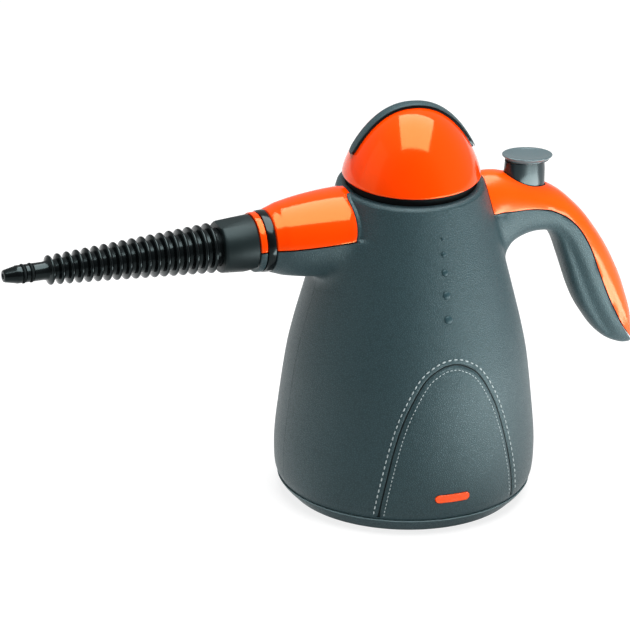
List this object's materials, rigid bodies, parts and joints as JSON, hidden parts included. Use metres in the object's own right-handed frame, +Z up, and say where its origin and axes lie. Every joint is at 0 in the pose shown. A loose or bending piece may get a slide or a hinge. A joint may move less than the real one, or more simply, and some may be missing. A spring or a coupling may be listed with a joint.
{
  "type": "handheld steam cleaner",
  "caption": "Handheld steam cleaner: round boiler housing, screw cap, finned steam nozzle on a bayonet, top steam button and hooked handle.",
  "frame": {"origin": "bottom centre of the object's outer box, on the surface that the feet stand on", "axes": "+X from the nozzle's tip towards the handle, +Y from the front shell to the rear shell, +Z up"},
  "size_m": [0.3916, 0.1505, 0.2406],
  "materials": {
    "slate_plastic": "leather-grain moulded blue-grey plastic",
    "grey_gloss": "polished grey plastic",
    "orange_gloss": "polished orange plastic",
    "black_plastic": "satin black plastic",
    "black_gloss": "polished black plastic",
    "rubber": "black rubber",
    "lamp_red": "clear orange-red lamp lens",
    "ivory_plastic": "natural nylon",
    "aluminium": "spun aluminium",
    "steel": "bright steel",
    "brass": "turned brass"
  },
  "bodies": {
    "housing": {"shell_front": "slate_plastic", "shell_rear": "slate_plastic", "base_plate": "slate_plastic", "nozzle_cover": "orange_gloss", "handle_cover": "orange_gloss", "filler_collar": "black_plastic", "spout_tube": "black_plastic", "spout_ring": "black_gloss", "cord_gland": "rubber", "foot_1": "rubber", "foot_2": "rubber", "foot_3": "rubber", "foot_4": "rubber", "lamp_lens": "lamp_red", "lamp_holder": "ivory_plastic", "terminal_block": "ivory_plastic", "thermostat": "ivory_plastic", "steam_pipe": "ivory_plastic", "boiler_tank": "aluminium", "heater_ring": "steel", "thermal_fuse": "steel", "button_spring": "steel", "valve_spring": "steel", "rocker_pin": "steel", "valve_body": "brass", "base_screw_1": "steel", "base_screw_2": "steel", "base_screw_3": "steel", "base_screw_4": "steel", "shell_screw_1": "steel", "shell_screw_2": "steel", "shell_screw_3": "steel", "shell_screw_4": "steel", "tank_screw_1": "steel", "tank_screw_2": "steel", "tank_screw_3": "steel"},
    "cap_seal": {"cap_gasket": "rubber"},
    "cap_screw": {"cap_plug": "black_plastic", "relief_nut": "brass", "relief_spring": "steel", "cap_spring": "steel", "cap_snap_ring": "steel"},
    "cap_top": {"cap_dome": "orange_gloss", "cap_grip": "slate_plastic"},
    "relief": {"relief_pin": "brass"},
    "button": {"steam_button": "grey_gloss"},
    "rocker": {"rocker_lever": "ivory_plastic"},
    "valve": {"valve_stem": "steel"},
    "seal": {"nozzle_seal": "rubber"},
    "nozzle": {"nozzle_collar": "black_plastic", "finned_nozzle": "black_gloss", "tip_ring_1": "rubber", "tip_ring_2": "rubber"}
  },
  "joints": [
    {"name": "cap_rise", "type": "slide", "parent": "housing", "child": "cap_seal", "axis": [0, 0, 1], "range_m": [0, 0.0109]},
    {"name": "cap_turn", "type": "hinge", "parent": "cap_seal", "child": "cap_screw", "pos_m": [0.0551, 0, 0.19], "axis": [0, 0, 1], "range_deg": [0, 1080]},
    {"name": "cap_press", "type": "slide", "parent": "cap_screw", "child": "cap_top", "axis": [0, 0, -1], "range_m": [0, 0.003], "stiffness_N_per_m": 1500, "springref_m": -0.002, "deforming": ["cap_spring"]},
    {"name": "relief_lift", "type": "slide", "parent": "cap_screw", "child": "relief", "axis": [0, 0, 1], "range_m": [0, 0.002], "stiffness_N_per_m": 2000, "springref_m": -0.003, "deforming": ["relief_spring"]},
    {"name": "steam_press", "type": "slide", "parent": "housing", "child": "button", "axis": [0, 0, -1], "range_m": [0, 0.004], "stiffness_N_per_m": 800, "springref_m": -0.002, "deforming": ["button_spring"]},
    {"name": "rocker_turn", "type": "hinge", "parent": "housing", "child": "rocker", "pos_m": [0.10365, 0, 0.161], "axis": [0, 1, 0], "range_deg": [0, 10.6]},
    {"name": "valve_lift", "type": "slide", "parent": "housing", "child": "valve", "axis": [0, 0, 1], "range_m": [0, 0.0041], "deforming": ["valve_spring"]},
    {"name": "nozzle_twist", "type": "hinge", "parent": "housing", "child": "seal", "pos_m": [-0.0508, 0, 0.1669], "axis": [-1, 0, 0], "range_deg": [0, 40]},
    {"name": "nozzle_pull", "type": "slide", "parent": "seal", "child": "nozzle", "axis": [-1, 0, 0], "range_m": [0, 0.06]}
  ],
  "couplings": [
    {"joint": "cap_rise", "follows": "cap_turn", "m_per_rad": 0.00057296},
    {"joint": "rocker_turn", "follows": "steam_press", "rad_per_m": 45.35},
    {"joint": "valve_lift", "follows": "steam_press", "ratio": 1}
  ]
}
